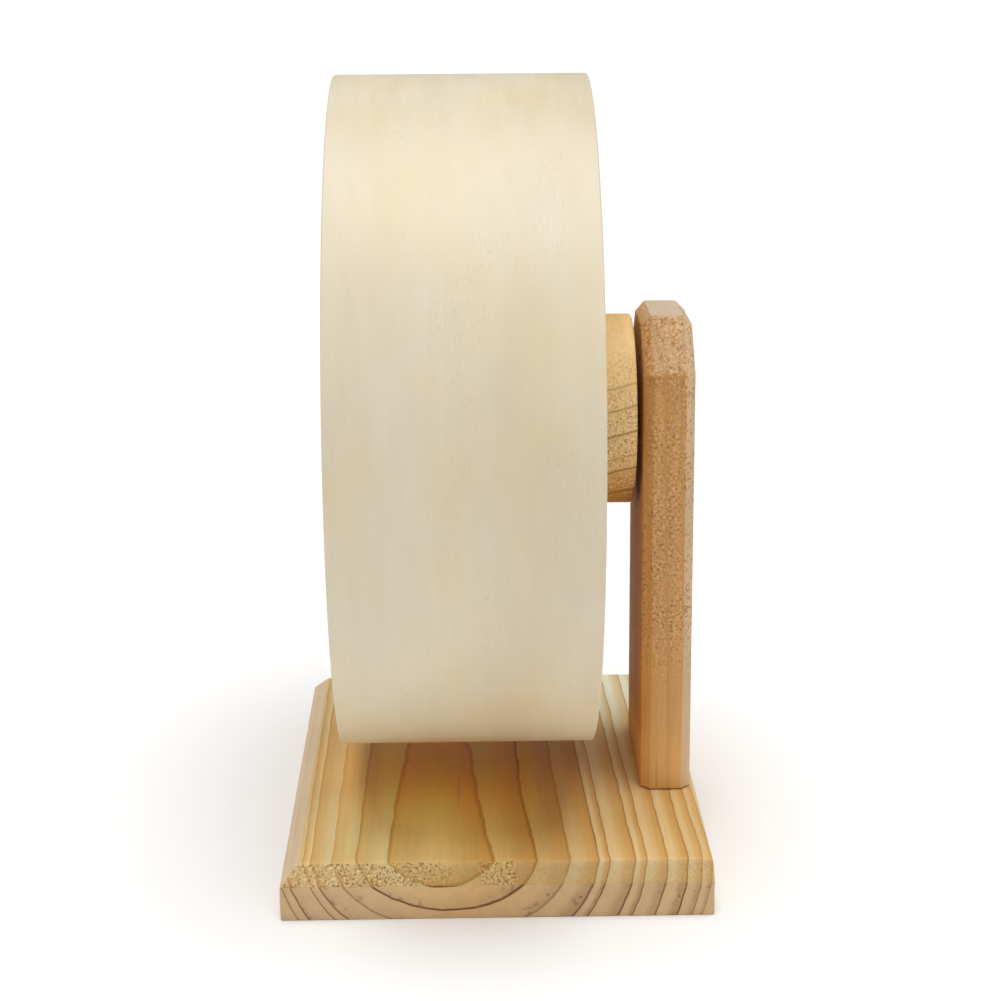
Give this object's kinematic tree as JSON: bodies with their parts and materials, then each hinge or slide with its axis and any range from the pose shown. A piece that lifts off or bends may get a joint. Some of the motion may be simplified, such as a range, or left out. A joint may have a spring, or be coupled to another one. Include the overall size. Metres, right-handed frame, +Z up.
{
  "type": "small pet exercise wheel",
  "caption": "Wooden exercise wheel for a hamster: a plywood drum, open on one side, turns on a ball bearing at the top of a post on a flat base board.",
  "frame": {"origin": "the middle of the base board's underside, which is also under the middle of the whole object", "axes": "+Z up; the axle lies along Y, with the drum's open side facing -Y and the post at +Y; X runs across the drum, along the base board's grain"},
  "size_m": [0.21, 0.129, 0.2397],
  "materials": {
    "pine": "sanded, unvarnished pine",
    "red_fir": "sanded, unvarnished reddish fir",
    "poplar_plywood": "smooth, unvarnished poplar plywood",
    "cork": "fine agglomerated cork sheet",
    "zinc_steel": "bright zinc plate",
    "bearing_steel": "ground bearing steel",
    "shield_steel": "pressed steel",
    "nylon": "moulded nylon"
  },
  "bodies": {
    "stand": {"base_board": "pine", "upright_post": "red_fir", "post_screw_left": "zinc_steel", "post_screw_right": "zinc_steel", "tee_nut": "zinc_steel", "axle_bolt": "zinc_steel", "head_washer": "zinc_steel", "front_spacer": "zinc_steel", "rear_spacer": "zinc_steel", "bearing_inner_ring": "bearing_steel"},
    "wheel": {"rim_band": "poplar_plywood", "cork_lining": "cork", "back_disc": "poplar_plywood", "hub_block": "pine", "hub_screw_1": "zinc_steel", "hub_screw_2": "zinc_steel", "hub_screw_3": "zinc_steel", "hub_screw_4": "zinc_steel", "bearing_outer_ring": "bearing_steel", "bearing_front_shield": "shield_steel", "bearing_rear_shield": "shield_steel"},
    "cage_and_balls": {"bearing_cage": "nylon", "bearing_ball_1": "bearing_steel", "bearing_ball_2": "bearing_steel", "bearing_ball_3": "bearing_steel", "bearing_ball_4": "bearing_steel", "bearing_ball_5": "bearing_steel", "bearing_ball_6": "bearing_steel", "bearing_ball_7": "bearing_steel"}
  },
  "joints": [
    {"name": "wheel_spin", "type": "hinge", "parent": "stand", "child": "wheel", "pos_m": [0, 0.0347, 0.1347], "axis": [0, 1, 0], "continuous": true},
    {"name": "cage_spin", "type": "hinge", "parent": "stand", "child": "cage_and_balls", "pos_m": [0, 0.0347, 0.1347], "axis": [0, 1, 0], "continuous": true}
  ],
  "couplings": [
    {"joint": "cage_spin", "follows": "wheel_spin", "ratio": 0.6323}
  ]
}
